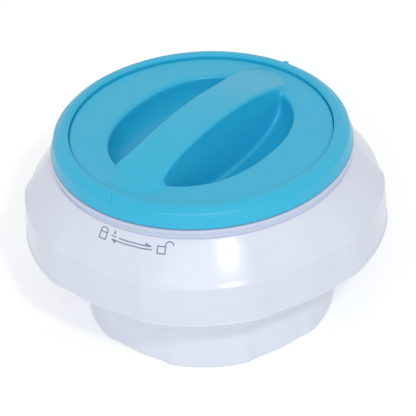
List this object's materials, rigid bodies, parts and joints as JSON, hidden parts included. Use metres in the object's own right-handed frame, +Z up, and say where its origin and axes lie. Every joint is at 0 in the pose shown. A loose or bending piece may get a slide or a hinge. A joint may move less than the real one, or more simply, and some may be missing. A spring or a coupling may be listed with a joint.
{
  "type": "floating chlorine dispenser",
  "caption": "Floating pool chlorine dispenser: lobed float, tablet basket with a rotary vent regulator under it, and a push-and-turn lid with a grip bar across two finger pockets.",
  "frame": {"origin": "centre of the basket's foot, on the surface that the dispenser stands on", "axes": "+Z up along the lid's axis, +X along the grip bar of the closed lid, towards the lid pointer that lies over a lobe of the float; +Y to its left, seen from above"},
  "size_m": [0.1821, 0.1846, 0.1119],
  "materials": {
    "lid_plastic": "satin",
    "float_shell": "satin",
    "basket_plastic": "satin",
    "foam": "matte",
    "seal": "matte",
    "steel": "satin"
  },
  "bodies": {
    "float_body": {"upper_float_shell": "float_shell", "float_closure_ring": "float_shell", "neck_collar": "float_shell", "hopper_tube": "basket_plastic", "foam_float_ring": "foam", "tablet_basket": "basket_plastic", "regulator_pivot": "basket_plastic", "regulator_push_nut": "steel", "closure_screw_1": "steel", "closure_screw_2": "steel", "closure_screw_3": "steel", "closure_screw_4": "steel", "closure_screw_5": "steel"},
    "regulator": {"regulator_dial": "lid_plastic", "regulator_friction_washer": "seal"},
    "lid_seal": {"lid_gasket": "seal"},
    "lid": {"lid_ring": "lid_plastic"},
    "grip_spring": {"lid_return_spring": "steel"},
    "grip": {"grip_disc": "lid_plastic", "grip_retainer_ring": "lid_plastic"}
  },
  "joints": [
    {"name": "lid_lift", "type": "slide", "parent": "float_body", "child": "lid_seal", "axis": [0, 0, 1], "range_m": [0, 0.06]},
    {"name": "lid_turn", "type": "hinge", "parent": "lid_seal", "child": "lid", "pos_m": [0, 0, 0.1], "axis": [0, 0, 1], "range_deg": [0, 24]},
    {"name": "grip_spin", "type": "hinge", "parent": "lid", "child": "grip_spring", "pos_m": [0, 0, 0.1], "axis": [0, 0, 1], "continuous": true},
    {"name": "grip_press", "type": "slide", "parent": "grip_spring", "child": "grip", "axis": [0, 0, 1], "range_m": [-0.0018, 0], "stiffness_N_per_m": 3000, "springref_m": 0.002, "deforming": ["lid_return_spring"]},
    {"name": "regulator_turn", "type": "hinge", "parent": "float_body", "child": "regulator", "pos_m": [0, 0, 0.007], "axis": [0, 0, 1], "range_deg": [0, 18]}
  ]
}
